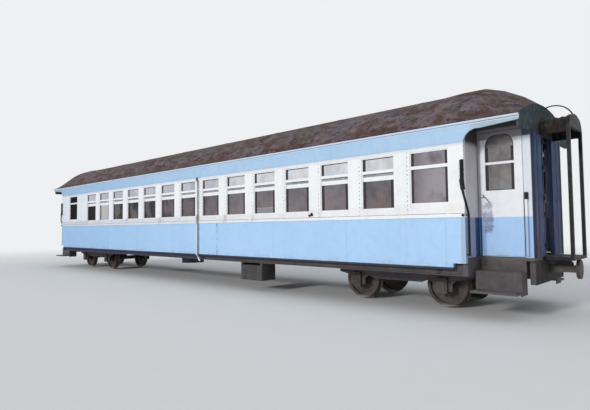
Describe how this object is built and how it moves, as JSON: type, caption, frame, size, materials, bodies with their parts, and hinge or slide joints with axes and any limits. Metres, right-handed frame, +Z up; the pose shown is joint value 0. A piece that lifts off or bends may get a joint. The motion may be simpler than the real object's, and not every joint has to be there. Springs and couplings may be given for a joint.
{
  "type": "passenger coach",
  "caption": "Narrow-gauge railway passenger coach on two bogies, with recessed end doors, open gangway hoops, a high rounded roof and rows of two-pane side windows.",
  "frame": {"origin": "on the ground plane through the lowest points of the wheel flanges, midway along and across the coach", "axes": "+X along the coach towards its front end, +Y to its left side, +Z up"},
  "size_m": [18.64, 3.004, 3.9065],
  "materials": {
    "light_blue_paint": "semi-gloss, weathered",
    "white_paint": "semi-gloss, weathered",
    "roof_paint": "matt, sooty",
    "slate_blue_paint": "gloss",
    "black_paint": "satin",
    "underframe_paint": "matt, dusty",
    "window_glass": "clear, dusty",
    "varnished_wood": "satin",
    "floor_boards": "matt, worn",
    "canvas": "matt, tarred",
    "cast_steel": "rough, dusty",
    "spring_steel": "dull",
    "wheel_steel": "rust-tinted, treads worn bright"
  },
  "bodies": {
    "root": {"solebars": "underframe_paint", "centre_sills": "underframe_paint", "cross_members": "underframe_paint", "floor": "floor_boards", "roof": "roof_paint", "side_panels_right": "light_blue_paint", "window_band_right": "white_paint", "letterboard_right": "light_blue_paint", "window_sashes_right": "white_paint", "window_glass_right": "window_glass", "benches_right": "varnished_wood", "side_panels_left": "light_blue_paint", "window_band_left": "white_paint", "letterboard_left": "light_blue_paint", "window_sashes_left": "white_paint", "window_glass_left": "window_glass", "benches_left": "varnished_wood", "roof_end_front": "roof_paint", "bulkhead_front": "white_paint", "end_wall_front": "slate_blue_paint", "door_frames_front": "light_blue_paint", "steps_front": "underframe_paint", "gangway_frame_front": "black_paint", "gangway_hood_front": "canvas", "coupler_front": "cast_steel", "roof_end_rear": "roof_paint", "bulkhead_rear": "white_paint", "end_wall_rear": "slate_blue_paint", "door_frames_rear": "light_blue_paint", "steps_rear": "underframe_paint", "gangway_frame_rear": "black_paint", "gangway_hood_rear": "canvas", "coupler_rear": "cast_steel", "handrails": "black_paint", "downpipes": "white_paint", "equipment_boxes": "underframe_paint", "brake_cylinders": "underframe_paint"},
    "bogie_front": {"bogie_frame_front": "underframe_paint", "axleboxes_front": "cast_steel", "leaf_springs_front": "spring_steel"},
    "wheels_front_outer": {"wheelset_front_outer": "wheel_steel"},
    "wheels_front_inner": {"wheelset_front_inner": "wheel_steel"},
    "swing_door_front_right": {"door_front_right": "light_blue_paint", "door_glass_front_right": "window_glass"},
    "swing_door_front_left": {"door_front_left": "light_blue_paint", "door_glass_front_left": "window_glass"},
    "bogie_rear": {"bogie_frame_rear": "underframe_paint", "axleboxes_rear": "cast_steel", "leaf_springs_rear": "spring_steel"},
    "wheels_rear_outer": {"wheelset_rear_outer": "wheel_steel"},
    "wheels_rear_inner": {"wheelset_rear_inner": "wheel_steel"},
    "swing_door_rear_right": {"door_rear_right": "light_blue_paint", "door_glass_rear_right": "window_glass"},
    "swing_door_rear_left": {"door_rear_left": "light_blue_paint", "door_glass_rear_left": "window_glass"}
  },
  "joints": [
    {"name": "swivel_front", "type": "hinge", "parent": "root", "child": "bogie_front", "pos_m": [6.45, 0, 0.7], "axis": [0, 0, 1], "range_deg": [-5, 5]},
    {"name": "axle_front_outer", "type": "hinge", "parent": "bogie_front", "child": "wheels_front_outer", "pos_m": [7.35, 0, 0.408], "axis": [0, 1, 0], "continuous": true},
    {"name": "axle_front_inner", "type": "hinge", "parent": "bogie_front", "child": "wheels_front_inner", "pos_m": [5.55, 0, 0.408], "axis": [0, 1, 0], "continuous": true},
    {"name": "hinge_front_right", "type": "hinge", "parent": "root", "child": "swing_door_front_right", "pos_m": [8.756, -0.847, 1.97], "axis": [0, 0, -1], "range_deg": [0, 90]},
    {"name": "hinge_front_left", "type": "hinge", "parent": "root", "child": "swing_door_front_left", "pos_m": [8.756, 0.847, 1.97], "axis": [0, 0, 1], "range_deg": [0, 90]},
    {"name": "swivel_rear", "type": "hinge", "parent": "root", "child": "bogie_rear", "pos_m": [-6.45, 0, 0.7], "axis": [0, 0, 1], "range_deg": [-5, 5]},
    {"name": "axle_rear_outer", "type": "hinge", "parent": "bogie_rear", "child": "wheels_rear_outer", "pos_m": [-7.35, 0, 0.408], "axis": [0, 1, 0], "continuous": true},
    {"name": "axle_rear_inner", "type": "hinge", "parent": "bogie_rear", "child": "wheels_rear_inner", "pos_m": [-5.55, 0, 0.408], "axis": [0, 1, 0], "continuous": true},
    {"name": "hinge_rear_right", "type": "hinge", "parent": "root", "child": "swing_door_rear_right", "pos_m": [-8.756, -0.847, 1.97], "axis": [0, 0, 1], "range_deg": [0, 90]},
    {"name": "hinge_rear_left", "type": "hinge", "parent": "root", "child": "swing_door_rear_left", "pos_m": [-8.756, 0.847, 1.97], "axis": [0, 0, -1], "range_deg": [0, 90]}
  ]
}
